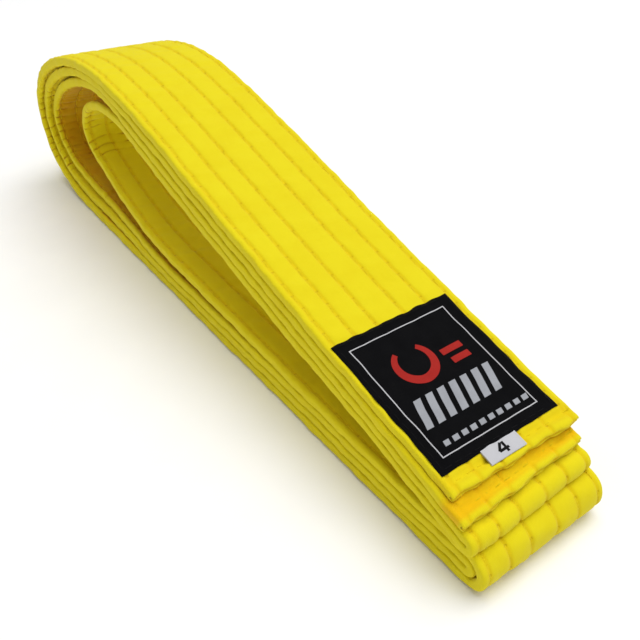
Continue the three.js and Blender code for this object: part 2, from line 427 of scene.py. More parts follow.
def all_pieces():
    """The belt from its labelled end to its plain end: (name, [(layer, path, step), ...])."""
    rear, up = BASE_REAR_X, STACK_REAR_X
    loops = [clip(inset(outer_line(), k), up, rear) for k in range(3)]
    fold_x = TOP_START[0] + FOLD_REACH
    third, fourth = (upper_run(k, fold_x, up) for k in (2, 3))
    low = ground(0, rear, OUTER_FOLD_X)
    high = ground(3, OUTER_FOLD_X, POCKET_FLOOR_X)
    second, inner = (ground(k, rear, INNER_FOLD_X) for k in (1, 2))
    return [
        ("label_end_strip", [(0, upper_run(0, A_END_X, up), STEP)]),
        ("far_loop_outer_strip", [(0, loops[0], LOOP_STEP)]),
        ("lower_fold_outer_strip", [
            (0, low, STEP),
            (0, near_fold(low[-1], high[0]), FOLD_STEP),
            (3, high, STEP),
        ]),
        ("far_loop_inner_strip", [(3, inner_loop()[::-1], LOOP_STEP)]),
        ("upper_fold_strip", [
            (3, fourth[::-1], STEP),
            (3, near_fold(fourth[0], third[0]), FOLD_STEP),
            (2, third, STEP),
        ]),
        ("far_loop_third_strip", [(2, loops[2], LOOP_STEP)]),
        ("lower_fold_inner_strip", [
            (2, inner, STEP),
            (2, near_fold(inner[-1], second[-1]), FOLD_STEP),
            (1, second[::-1], STEP),
        ]),
        ("far_loop_second_strip", [(1, loops[1][::-1], LOOP_STEP)]),
        ("plain_end_strip", [(1, upper_run(1, TOP_START[0], up)[::-1], STEP)]),
    ]


def resampled(path, step):
    s = lengths(path)
    count = max(int(round(s[-1] / step)), 2)
    at = np.linspace(0, s[-1], count + 1)
    return np.stack([np.interp(at, s, path[:, i]) for i in (0, 1)], 1)


class Line:
    """The whole belt's middle line, ring by ring, and what the section needs at each ring."""

    def __init__(self):
        points, layers, self.pieces, count = [], [], {}, 0
        for name, stretches in all_pieces():
            first = max(count - 1, 0)
            for layer, path, step in stretches:
                part = resampled(path, step)
                part = part[1:] if count else part
                points.append(part)
                layers.append(np.full(len(part), layer))
                count += len(part)
            self.pieces[name] = (first, count - 1)
        self.p = np.concatenate(points)
        self.layer = np.concatenate(layers)
        self.s = lengths(self.p)
        self.t = directions(self.p)
        self.n = np.stack([-self.t[:, 1], self.t[:, 0]], 1)
        angle = np.unwrap(np.arctan2(self.t[:, 1], self.t[:, 0]))
        self.bend = np.gradient(angle, self.s)
        x = self.p[:, 0]
        upper = self.p[:, 1] > UPPER_STACK_Z
        near = smooth(x, *NEAR_SHIFT_X)
        self.slip = np.array(SLIPS)[self.layer] * smooth(x, *SLIP_X)
        self.slip += np.where(upper, np.array(NEAR_SLIPS)[self.layer], 0.0) * near
        self.skew = np.where(upper, np.array(NEAR_SKEWS)[self.layer], BASE_SKEW) * near
        self.thick = thickness_at(x)

    def at(self, s):
        """The line's values at any distance from the labelled end."""
        kept = {
            "x": self.p[:, 0],
            "z": self.p[:, 1],
            "nx": self.n[:, 0],
            "nz": self.n[:, 1],
            "slip": self.slip,
            "skew": self.skew,
            "thick": self.thick,
            "bend": self.bend,
        }
        values = {name: np.interp(s, self.s, value) for name, value in kept.items()}
        values["s"] = np.asarray(s, float)
        return values


# ---- The belt's surface ----

def row_of(v):
    """The nearest seam's number, and how far away it is."""
    gaps = np.abs(np.asarray(v)[..., None] - np.array(ROWS))
    return gaps.argmin(-1), gaps.min(-1)


def stitch_phase(s, row, side):
    return s / STITCH + row * ROW_SHIFT + (FACE_SHIFT if side > 0 else 0.0)


def wander(s, seed, wavelengths):
    """A smooth made-up unevenness along the belt, from -1 to 1."""
    total = 0
    for i, w in enumerate(wavelengths):
        total = total + np.sin(2 * np.pi * s / w + 1.7 * seed + 2.3 * i + 0.9 * seed * i)
    return total / len(wavelengths)


def creases(ring, v, side):
    """How deep the cloth is creased, 0 to 1, across the inner face of a wide bend."""
    s, bend = ring["s"], ring["bend"]
    tight = np.where(bend * side > 0, 1.0, 0.0) * smooth(np.abs(bend), *CREASE_BEND)
    tight = tight * (1 - smooth(np.abs(bend), *UNCREASED_BEND))
    turn = s / CREASE_PITCH + 0.35 * wander(s, 4, (31.0, 17.0))
    turn = turn + 0.25 * wander(v, 2 + side, (23.0, 14.0))
    fold_line = (1 - np.abs(np.sin(np.pi * turn))) ** 1.5
    return tight * fold_line * (0.65 + 0.35 * wander(s + 3 * v, 6, (37.0, 21.0)))


def height(ring, v, side, length):
    """Half the belt's thickness at v, on its left face (side 1) or right face (side -1)."""
    s, thick, bend = ring["s"], ring["thick"], ring["bend"]
    row, gap = row_of(v)
    inside = np.abs(v) < ROWS[-1]
    channel = np.where(inside, 1 - np.exp(-((gap / CHANNEL_WIDTH) ** 2)), CHANNEL_AT_EDGE)
    level = thick / 2 * (1 - CHANNEL_SHARE + CHANNEL_SHARE * channel)
    seed = row + 7 * (side > 0) + np.where(v > np.array(ROWS)[row], 0.5, 0.0)
    beside = np.exp(-(((gap - PUCKER_GAP) / PUCKER_GAP) ** 2))
    pucker = PUCKER * beside * wander(s, seed, PUCKER_WAVES)
    ripple = RIPPLE * channel * wander(s, 3 + 5 * (side > 0) + v * 0.11, RIPPLE_WAVES)
    outer = np.where(bend * side < 0, 1.0, 0.0) * smooth(np.abs(bend), *FOLD_BEND)
    swell = FOLD_SWELL * outer * channel * (1 + 0.35 * wander(s, seed, SWELL_WAVES))
    crease = CREASE_DEPTH * creases(ring, v, side)
    over = np.clip((np.abs(v) - (HALF_WIDTH - EDGE_RADIUS)) / EDGE_RADIUS, 0, 1)
    edge = EDGE_SHARE + (1 - EDGE_SHARE) * np.sqrt(1 - over ** 2)
    holes = 1 - GROOVE_HOLES + GROOVE_HOLES * np.cos(2 * np.pi * stitch_phase(s, row, side))
    flat = 1 - 0.4 * outer
    groove = GROOVE_DEPTH * flat * np.exp(-((gap / (GROOVE_WIDTH * flat)) ** 2)) * holes
    from_end = np.minimum(s, length - s)
    dent = HEM_DENT * bump(gap, DENT_GAP, DENT_WIDTH) * (1 + 0.5 * wander(v, 7, DENT_WAVES))
    hem = (HEM_GROOVE + dent) * bump(from_end, HEM_INSET, HEM_GROOVE_WIDTH)
    hem = hem - HEM_RIDGE * bump(from_end, HEM_RIDGE_INSET, HEM_GROOVE_WIDTH)
    sunk = np.maximum(groove, hem * (np.abs(v) < HEM_HALF_WIDTH)) * (1 - over)
    return (level + (pucker + ripple - crease) + swell) * edge - sunk


def placed(ring, v, h, ahead=0.0):
    """Points of the belt, h off its middle line and a little ahead along it, in metres."""
    x = ring["x"] + ring["nx"] * h + ring["nz"] * ahead - ring["skew"] * (v - SKEW_CENTRE)
    z = ring["z"] + ring["nz"] * h - ring["nx"] * ahead
    wave = sum(size * wander(ring["s"], seed, waves) for size, seed, waves in WIDTH_WAVES)
    y = v * (1 + wave / HALF_WIDTH) + ring["slip"]
    x, y, z = np.broadcast_arrays(x, y, z)
    lean = (np.clip(LEAN_X - x, 0, None) / LEAN_REACH) ** 2
    z = z + LEAN * lean * y * np.clip(z / LOOP_HEIGHT, 0, 1)
    return np.stack([x, y, z], -1) * MM


def section_places():
    """Places across the belt, closest together at the seams and the edges."""
    places = [*EDGE_PLACES, *(-p for p in EDGE_PLACES)]
    for row in ROWS:
        places += [row + d for d in SEAM_PLACES]
    for a, b in zip(ROWS[:-1], ROWS[1:]):
        inner = np.linspace(a + SEAM_PLACES[-1], b + SEAM_PLACES[0], PLACES_BETWEEN + 2)
        places += list(inner[1:-1])
    return np.array(sorted(places))


def new_object(name, points, faces):
    mesh = bpy.data.meshes.new(name)
    mesh.from_pydata(points.reshape(-1, 3).tolist(), [], [list(face) for face in faces])
    mesh.polygons.foreach_set("use_smooth", [True] * len(mesh.polygons))
    mesh.update()
    obj = bpy.data.objects.new(name, mesh)
    bpy.context.scene.collection.objects.link(obj)
    return obj


def put_uv(obj, uv):
    """The cloth's or thread's own map, in metres."""
    mesh = obj.data
    layer = mesh.uv_layers.new(name="cloth")
    corner = np.zeros(len(mesh.loops), int)
    mesh.loops.foreach_get("vertex_index", corner)
    layer.data.foreach_set("uv", uv[corner].astype(np.float32).ravel())


def put_value(obj, name, values):
    attribute = obj.data.attributes.new(name, "FLOAT", "POINT")
    attribute.data.foreach_set("value", np.asarray(values, np.float32).ravel())


def grid_faces(rows, columns, wrap=False):
    across = columns if wrap else columns - 1
    i, j = np.meshgrid(np.arange(rows - 1), np.arange(across), indexing="ij")
    a = i * columns + j
    b = i * columns + (j + 1) % columns
    return np.stack([a, b, b + columns, a + columns], -1).reshape(-1, 4)


def mark_sharp(obj, groups):
    """Makes every edge between two points of one group a hard edge."""
    mesh = obj.data
    ends = np.zeros(len(mesh.edges) * 2, int)
    mesh.edges.foreach_get("vertices", ends)
    ends = ends.reshape(-1, 2)
    sharp = np.zeros(len(ends), bool)
    for group in groups:
        sharp |= np.isin(ends, group).all(1)
    attribute = mesh.attributes.new("sharp_edge", "BOOLEAN", "EDGE")
    attribute.data.foreach_set("value", sharp)


def hem_lip(ends, places, level, length, way):
    """One row of points across a hem's end. Two lips stand out, with a gap between them."""
    up = height(ends, places, 1, length)
    down = -height(ends, places, -1, length)
    lip = max(1 - ((abs(level) - LIP_LEVEL) / LIP_LEVEL) ** 4, 0) * LIP
    uneven = 1 + LIP_UNEVEN * wander(places, 3 if level > 0 else 8, LIP_WAVES)
    wave = END_WAVE * wander(places, 5, END_WAVES) * (1 - abs(level) * 0.6)
    ahead = np.maximum(lip * uneven + wave, END_LEAST) * way
    return placed(ends, places, down + (up - down) * (level + 1) / 2, ahead)


def strip_object(line, name, places):
    """One closed stretch of the belt, with plain caps where it carries on and lips at a hem."""
    first, last = line.pieces[name]
    length = line.s[-1]
    ring = {k: v[:, None] for k, v in line.at(line.s[first:last + 1]).items()}
    left = placed(ring, places, height(ring, places, 1, length))
    right = placed(ring, places[::-1], -height(ring, places[::-1], -1, length))
    body = np.concatenate([left, right], 1)
    count, around = body.shape[:2]
    half = around // 2
    points, faces = [body.reshape(-1, 3)], [grid_faces(count, around, wrap=True)]
    s_all = [np.repeat(line.s[first:last + 1], around)]
    v_all = [np.tile(np.concatenate([places, places[::-1]]), count)]
    # Painted shade: a warmer orange band near each hem's end, weaker on the labelled end
    from_end = np.minimum(s_all[0], length - s_all[0])
    hem_painted_shade = smooth(from_end, *HEM_PAINTED_SHADE_FROM) * smooth(from_end, *HEM_PAINTED_SHADE_TO)
    painted_shade_all = [hem_painted_shade * (LABEL_END_PAINTED_SHADE if first == 0 else 1.0)]
    total, sharp, corners = count * around, [], []
    for at_start in (True, False):
        index = 0 if at_start else count - 1
        rim = np.arange(around) + index * around
        top, bottom = rim[:half], rim[half:][::-1]
        is_hem = (first == 0) if at_start else (last == len(line.s) - 1)
        rows = [top]
        if is_hem:
            ends = {k: v[index] for k, v in ring.items()}
            for level in HEM_LEVELS:
                points.append(hem_lip(ends, places, level, length, -1 if at_start else 1))
                s_all.append(np.full(half, ends["s"][0]))
                # Painted shade in the gap between a hem's two lips
                painted_shade_all.append(np.full(half, float(bump(level, 0, LIP_GAP_PAINTED_SHADE_WIDTH))))
                v_all.append(places)
                rows.append(np.arange(half) + total)
                total += half
        else:
            sharp.append(rim)
        rows.append(bottom)
        for a, b in zip(rows[:-1], rows[1:]):
            quads = np.stack([a[:-1], a[1:], b[1:], b[:-1]], 1)
            faces.append(quads[:, ::-1] if at_start else quads)
        if is_hem:
            sides = [[int(r[0]) for r in rows], [int(r[-1]) for r in rows[::-1]]]
            corners += [side[::-1] if at_start else side for side in sides]
    shell = np.concatenate(faces).tolist() + corners
    obj = new_object(name, np.concatenate(points), [face[::-1] for face in shell])
    s, v = np.concatenate(s_all), np.concatenate(v_all)
    put_uv(obj, np.stack([s, v], 1) * MM)
    row, gap = row_of(v)
    put_value(obj, "seam_gap", gap)
    put_value(obj, "stitch_turn", stitch_phase(s, row, 1))
    painted_warm_shade = np.concatenate(painted_shade_all)
    deep = np.zeros(total)
    lips = np.zeros(total - count * around)
    # Painted shade on the left faces inside the far loops and on the pocket's floor
    if name in PAINTED_SHADE_PIECES:
        left_face = np.concatenate([np.tile(np.repeat([1.0, 0.0], half), count), lips])
        left_face = left_face * smooth(np.abs(v), *DEEP_EDGE_V)
        x, _, z = np.concatenate(points).T / MM
        floor = smooth(x, *DEEP_FLOOR_X) * smooth(z, *DEEP_FLOOR_Z)
        deep = left_face * np.maximum(smooth(x, *DEEP_FAR_X), floor)
        painted_warm_shade = np.maximum(painted_warm_shade, DEEP_PAINTED_SHADE_TINT * deep)
    put_value(obj, "painted_warm_shade", painted_warm_shade)
    # Painted shade marks: the creases, and inside the far loops and on the pocket's floor
    folded = [creases(ring, places, 1), creases(ring, places[::-1], -1)]
    folded = np.concatenate([np.concatenate(folded, 1).ravel(), lips])
    put_value(obj, "crease", np.maximum(folded, DEEP_SHADE * deep))
    if sharp:
        mark_sharp(obj, sharp)
    return obj


def thread_tubes(name, centres, ups, sides, radius):
    """Closed tubes. centres is tubes x points x 3, and ups and sides are unit vectors there."""
    tubes, count = centres.shape[:2]
    a = np.arange(THREAD_SIDES) * 2 * np.pi / THREAD_SIDES
    taper = np.ones(count)
    taper[[0, -1]] = THREAD_TAPER
    circle = ups[:, :, None] * np.cos(a)[:, None] + sides[:, :, None] * np.sin(a)[:, None]
    points = centres[:, :, None] + circle * (radius * taper)[None, :, None, None]
    firsts = np.arange(tubes) * count * THREAD_SIDES
    wall = grid_faces(count, THREAD_SIDES, wrap=True)
    quads = (wall[None] + firsts[:, None, None]).reshape(-1, 4)
    start_cap = np.arange(THREAD_SIDES)[::-1]
    end_cap = np.arange(THREAD_SIDES) + (count - 1) * THREAD_SIDES
    caps = np.concatenate([cap[None] + firsts[:, None] for cap in (start_cap, end_cap)])
    obj = new_object(name, points, quads[:, ::-1].tolist() + caps[:, ::-1].tolist())
    along = np.tile(np.repeat(np.arange(count), THREAD_SIDES), tubes) * THREAD_MAP_STEP
    around = np.tile(np.arange(THREAD_SIDES), tubes * count) / THREAD_SIDES
    put_uv(obj, np.stack([along * MM, around * MM], 1))
    return obj


def seam_object(line, name, first, last):
    """The lockstitches of all six rows on both faces of one stretch of belt."""
    s_first, s_last, length = line.s[first], line.s[last], line.s[-1]
    u = np.linspace(0, 1, THREAD_POINTS)
    starts, across, faces = [], [], []
    for side in (1, -1):
        for row, v in enumerate(ROWS):
            offset = (stitch_phase(0.0, row, side) % 1) * STITCH
            at = np.arange(math.floor(s_first / STITCH) - 1, s_last / STITCH + 1) * STITCH - offset
            at = at[(at > s_first + STITCH_MARGIN) & (at + STITCH < s_last - STITCH_MARGIN)]
            at = at[(at > HEM_INSET) & (at + STITCH < length - HEM_INSET)]
            starts.append(at)
            across.append(np.full(len(at), v))
            faces.append(np.full(len(at), side))
    starts, across, faces = (np.concatenate(a) for a in (starts, across, faces))
    s = starts[:, None] + (STITCH - STITCH_LENGTH) / 2 + u * STITCH_LENGTH
    ring = line.at(s)
    v = across[:, None] + 0.05 * np.sin(starts * 3.1)[:, None]
    h_left = height(ring, v + 0 * s, 1, length)
    h_right = -height(ring, v + 0 * s, -1, length)
    side = faces[:, None] + 0 * s
    rise = side * (STITCH_RISE * np.sin(np.pi * u) ** 0.6 - STITCH_RISE)
    h = np.where(side > 0, h_left, h_right) + rise
    centres = placed(ring, v, h)
    ups = unit(np.stack([ring["nx"], 0 * s, ring["nz"]], -1))
    sides = np.zeros_like(ups)
    sides[..., 1] = 1
    return thread_tubes(name, centres, ups, sides, THREAD_RADIUS * MM)


def cross_stitches(line, name, at_s):
    """A row of stitches straight across the belt, on both faces."""
    length = line.s[-1]
    u = np.linspace(0, 1, THREAD_POINTS)
    starts = np.arange(*HEM_STITCH_V, HEM_STITCH)
    starts = np.concatenate([starts, starts])
    side = np.repeat([1.0, -1.0], len(starts) // 2)[:, None] + 0 * u
    v = starts[:, None] + 0.3 + u * (HEM_STITCH - 0.5)
    s = np.full_like(v, at_s) + 0.12 * np.sin(starts * 2.3)[:, None]
    ring = line.at(s)
    tall = np.where(side > 0, height(ring, v, 1, length), height(ring, v, -1, length))
    h = side * (tall + HEM_STITCH_RISE * np.sin(np.pi * u) ** 0.6 - 0.1)
    centres = placed(ring, v, h)
    ups = unit(np.stack([ring["nx"], 0 * s, ring["nz"]], -1))
    sides = np.stack([-ups[..., 2], 0 * s, ups[..., 0]], -1)
    return thread_tubes(name, centres, ups, sides, THREAD_RADIUS * MM)


# ---- What is sewn on the labelled end ----

def face_point(line, s, v, h):
    """Points h out from the labelled end's middle line, on its top side."""
    s, v, h = np.broadcast_arrays(np.asarray(s, float), v, h)
    return placed(line.at(s), v, -h)


def slab(line, outer, inner):
    """Points and faces of a thin closed solid between two grids of (s, v, h)."""
    rows, columns = outer[0].shape
    points = np.concatenate([face_point(line, *g).reshape(-1, 3) for g in (outer, inner)])
    total = rows * columns
    index = np.arange(total).reshape(rows, columns)
    top = grid_faces(rows, columns)
    rim = np.concatenate([index[0], index[1:, -1], index[-1, -2::-1], index[-2:0:-1, 0]])
    after = np.roll(rim, -1)
    sides = np.stack([after, rim, rim + total, after + total], 1)
    faces = np.concatenate([top, top[:, ::-1] + total, sides])
    uv = np.concatenate([np.stack([g[0].ravel(), g[1].ravel()], 1) for g in (outer, inner)])
    return points, faces, uv


def sewn_object(name, slabs):
    """Several thin solids as one piece, with hard edges where they turn sharply."""
    points, faces, uvs, total = [], [], [], 0
    for p, f, uv in slabs:
        points.append(p)
        faces.append(f + total)
        uvs.append(uv)
        total += len(p)
    obj = new_object(name, np.concatenate(points), np.concatenate(faces))
    put_uv(obj, np.concatenate(uvs) * MM)
    outward_faces(obj)
    obj.data.set_sharp_from_angle(angle=math.radians(SHARP_ANGLE))
    return obj


def outward_faces(obj):
    shape = bmesh.new()
    shape.from_mesh(obj.data)
    bmesh.ops.recalc_face_normals(shape, faces=shape.faces)
    shape.to_mesh(obj.data)
    shape.free()


def label_height(s, v):
    """The label's underside: it lies on the quilting and dips a little over each seam."""
    row, gap = row_of(v)
    uneven = 0.8 + 0.2 * np.sin(2 * np.pi * s / 4.7 + row)
    dip = LABEL_DIP * np.exp(-((gap / 1.3) ** 2)) * uneven
    return LABEL_BASE - dip + 0.05 * wander(s + v * 0.4, 4, (17.0, 9.0))


def label_top(s, v):
    return label_height(s, v) + LABEL_THICKNESS


def label_grid(rows, columns):
    """Places on the label, whose woven edges aren't quite straight, and their shares of it."""
    t, u = np.meshgrid(np.linspace(0, 1, rows), np.linspace(0, 1, columns), indexing="ij")
    v = LABEL_Y[0] + (LABEL_Y[1] - LABEL_Y[0]) * u
    near = LABEL_NEAR_S + 0.12 * wander(v, 6, (23.0, 9.7, 5.1))
    far = LABEL_NEAR_S + LABEL_LENGTH + 0.25 * wander(v, 9, (11.0, 6.3, 4.9))
    s = near + (far - near) * t
    v = v + 0.12 * wander(s, 3, (19.0, 8.0)) * np.where(u > 0.5, 1, -1)
    return s, v, t, u


def label_object(line):
    s, v, t, u = label_grid(84, 90)
    edge = np.minimum(np.minimum(t, 1 - t) * LABEL_LENGTH, np.minimum(u, 1 - u) * LABEL_WIDTH)
    soft = 1 - 0.75 * np.clip(1 - edge / 0.45, 0, 1) ** 2
    rolled = 0.1 * np.exp(-(((edge - 0.9) / 0.5) ** 2))
    low = label_height(s, v)
    high = low + LABEL_THICKNESS * soft + rolled
    return sewn_object("label_cloth", [slab(line, (s, v, high), (s, v, low))])


def bar(line, s_range, v_range, slant=0.0, columns=6, rows=6):
    """A raised woven bar on the label."""
    t, u = np.meshgrid(np.linspace(0, 1, rows), np.linspace(0, 1, columns), indexing="ij")
    s = s_range[0] + (s_range[1] - s_range[0]) * t
    v = v_range[0] + (v_range[1] - v_range[0]) * u + slant * (t - 0.5)
    top = label_top(s, v)
    return slab(line, (s, v, top + BAR_RISE), (s, v, top - YARN_SINK))


def open_ring(line):
    """A raised ring on the label, thickest halfway round and open on one side."""
    t, u = np.meshgrid(np.linspace(0, 1, 56), np.linspace(0, 1, 6), indexing="ij")
    a = math.radians(RING_START) + math.radians(RING_SWEEP) * t
    swell = RING_WIDTH * (0.55 + 0.45 * np.sin(np.pi * t))
    r = RING_RADIUS + swell * (u - 0.5)
    s, v = RING_AT[0] + r * np.cos(a), RING_AT[1] + r * np.sin(a)
    top = label_top(s, v)
    return slab(line, (s, v, top + RING_RISE), (s, v, top - YARN_SINK))


def label_border(line):
    (s0, s1), (v0, v1), w = BORDER_S, BORDER_V, BORDER_WIDTH
    pieces = [bar(line, (s, s + w), (v0, v1 + w), columns=70, rows=3) for s in (s0, s1)]
    pieces += [bar(line, (s0 + w, s1), (v, v + w), columns=3, rows=70) for v in (v0, v1)]
    return sewn_object("label_border", pieces)


def label_ring(line):
    pieces = [open_ring(line)]
    for i in (0, 1):
        s_range = tuple(s - RING_BAR_PITCH * i for s in RING_BARS_S)
        pieces.append(bar(line, s_range, (RING_BARS_V[0] + i, RING_BARS_V[1]), columns=16))
    return sewn_object("label_ring", pieces)


def label_bars(line):
    starts = np.arange(BAR_COUNT) * BAR_PITCH + BAR_FIRST_V
    bars = [bar(line, BAR_S, (v, v + BAR_WIDTH), slant=BAR_SLANT, rows=20) for v in starts]
    return sewn_object("label_bars", bars)


def label_dashes(line):
    starts = np.arange(DASH_COUNT) * DASH_PITCH + DASH_FIRST_V
    dashes = [bar(line, DASH_S, (v, v + DASH_WIDTH), slant=DASH_SLANT) for v in starts]
    return sewn_object("label_dashes", dashes)


def label_edge_stitches(line):
    """Dark thread that sews the label down, a little inside its edge."""
    s0 = LABEL_NEAR_S + EDGE_STITCH_INSET
    s1 = LABEL_NEAR_S + LABEL_LENGTH - EDGE_STITCH_INSET
    v0, v1 = LABEL_Y[0] + EDGE_STITCH_INSET, LABEL_Y[1] - EDGE_STITCH_INSET
    u = np.linspace(0.08, 0.92, THREAD_POINTS)
    along_s = np.arange(s0, s1 - EDGE_STITCH, EDGE_STITCH)
    along_v = np.arange(v0, v1 - EDGE_STITCH, EDGE_STITCH)
    s = [a + u * EDGE_STITCH for a in along_s] * 2
    s += [np.full_like(u, a) for a in (s0, s1) for _ in along_v]
    v = [np.full_like(u, b) for b in (v0, v1) for _ in along_s]
    v += [a + u * EDGE_STITCH for a in along_v] * 2
    s, v = np.array(s), np.array(v)
    lift = 0.1 * np.sin(np.pi * np.linspace(0, 1, THREAD_POINTS))
    centres = face_point(line, s, v, label_top(s, v) + lift)
    ring = line.at(s)
    ups = unit(np.stack([-ring["nx"], 0 * s, -ring["nz"]], -1))
    sides = unit(np.cross(ups, np.gradient(centres, axis=1)))
    return thread_tubes("label_edge_thread", centres, ups, sides, EDGE_THREAD_RADIUS * MM)


def tag_object(line):
    """A satin tape folded double, sewn in under the label's near edge."""
    flat_s = np.linspace(TAG_REAR_S, TAG_FOLD_S, TAG_ROWS)
    a = np.linspace(-math.pi / 2, math.pi / 2, 11)[1:-1]
    low, high = TAG_LOW, TAG_LOW + 2 * TAG_TURN
    s = np.concatenate([flat_s, TAG_FOLD_S - TAG_TURN * np.cos(a) * 2.2, flat_s[::-1]])
    turn = low + TAG_TURN + TAG_TURN * np.sin(a)
    h = np.concatenate([np.full(TAG_ROWS, low), turn, np.full(TAG_ROWS, high)])
    d = unit(np.gradient(np.stack([s, h], 1), axis=0))
    columns = np.linspace(*TAG_Y, TAG_COLUMNS)
    wave = TAG_WAVE * wander(columns, 5, TAG_WAVES)[None, :]
    grids = []
    for side in (1, -1):
        s_grid = (s + side * d[:, 1] * TAG_THICKNESS / 2)[:, None] + 0 * columns
        h_grid = (h - side * d[:, 0] * TAG_THICKNESS / 2)[:, None] + wave
        grids.append((s_grid, columns + 0 * s_grid, h_grid))
    return sewn_object("size_tag_tape", [slab(line, *grids)])


def tag_number(line):
    """The numeral 4, woven into the tag."""
    top = TAG_LOW + 2 * TAG_TURN + TAG_THICKNESS / 2
    across = np.linspace(-STROKE_HALF, STROKE_HALF, 4)
    t, u = np.meshgrid(np.linspace(0, 1, 8), across, indexing="ij")
    pieces = []
    for (s0, v0), (s1, v1) in TAG_STROKES:
        way = np.array([s1 - s0, v1 - v0]) / math.hypot(s1 - s0, v1 - v0)
        s = s0 + (s1 - s0) * t - way[1] * u
        v = v0 + (v1 - v0) * t + way[0] * u
        h = top + TAG_WAVE * wander(v, 5, TAG_WAVES)
        pieces.append(slab(line, (s, v, h + 0.03), (s, v, h - 0.05)))
    return sewn_object("size_tag_number", pieces)


# ---- Materials ----

class Nodes:
    """A short way to wire a procedural material."""

    def __init__(self, name):
        self.material = bpy.data.materials.new(name)
        self.material.use_nodes = True
        self.tree = self.material.node_tree
        self.shader = self.tree.nodes["Principled BSDF"]

    def add(self, kind, inputs=None, **settings):
        node = self.tree.nodes.new("ShaderNode" + kind)
        for key, value in settings.items():
            setattr(node, key, value)
        for key, value in (inputs or {}).items():
            if hasattr(value, "is_output"):
                self.tree.links.new(value, node.inputs[key])
            else:
                node.inputs[key].default_value = value
        return node

    def math(self, operation, a, b=0.0, c=0.0):
        return self.add("Math", {0: a, 1: b, 2: c}, operation=operation).outputs[0]

    def value(self, name):
        """A value kept at each point of the mesh."""
        return self.add("Attribute", attribute_name=name).outputs["Fac"]

    def between(self, x, low, high, out_low=0.0, out_high=1.0):
        inputs = {"Value": x, "From Min": low, "From Max": high}
        inputs.update({"To Min": out_low, "To Max": out_high})
        return self.add("MapRange", inputs, interpolation_type="SMOOTHSTEP").outputs["Result"]

    def mix(self, amount, a, b):
        node = self.add("Mix", data_type="RGBA")
        for socket, value in ((node.inputs[0], amount), (node.inputs[6], a), (node.inputs[7], b)):
            if hasattr(value, "is_output"):
                self.tree.links.new(value, socket)
            elif isinstance(value, tuple):
                socket.default_value = (*value, 1.0)
            else:
                socket.default_value = value
        return node.outputs[2]

    def cloth(self):
        """The own map of a cloth or thread, the distance along it and the distance across."""
        uv = self.add("UVMap", uv_map="cloth").outputs["UV"]
        parts = self.add("SeparateXYZ", {"Vector": uv})
        return uv, parts.outputs["X"], parts.outputs["Y"]

    def noise(self, vector, scale, detail=3.0):
        inputs = {"Vector": vector, "Scale": scale, "Detail": detail, "Roughness": 0.55}
        return self.add("TexNoise", inputs).outputs["Fac"]

    def thread_wave(self, x, pitch, y=None, skew=0.0):
        """A wave as long as the pitch in millimetres, turned aside where y is given."""
        turn = self.math("MULTIPLY", x, 2 * math.pi / (pitch * MM))
        if y is not None:
            turn = self.math("MULTIPLY_ADD", y, skew * 2 * math.pi / (pitch * MM), turn)
        return self.math("SINE", turn)

    def bump(self, height, distance, strength=1.0, normal=None):
        inputs = {"Height": height, "Distance": distance * MM, "Strength": strength}
        if normal is not None:
            inputs["Normal"] = normal
        return self.add("Bump", inputs).outputs["Normal"]

    def finish(self, color, normal, roughness, sheen, specular):
        self.tree.links.new(color, self.shader.inputs["Base Color"])
        self.tree.links.new(normal, self.shader.inputs["Normal"])
        if hasattr(roughness, "is_output"):
            self.tree.links.new(roughness, self.shader.inputs["Roughness"])
        else:
            self.shader.inputs["Roughness"].default_value = roughness
        self.shader.inputs["Sheen Weight"].default_value = sheen
        self.shader.inputs["Specular IOR Level"].default_value = specular
        return self.material


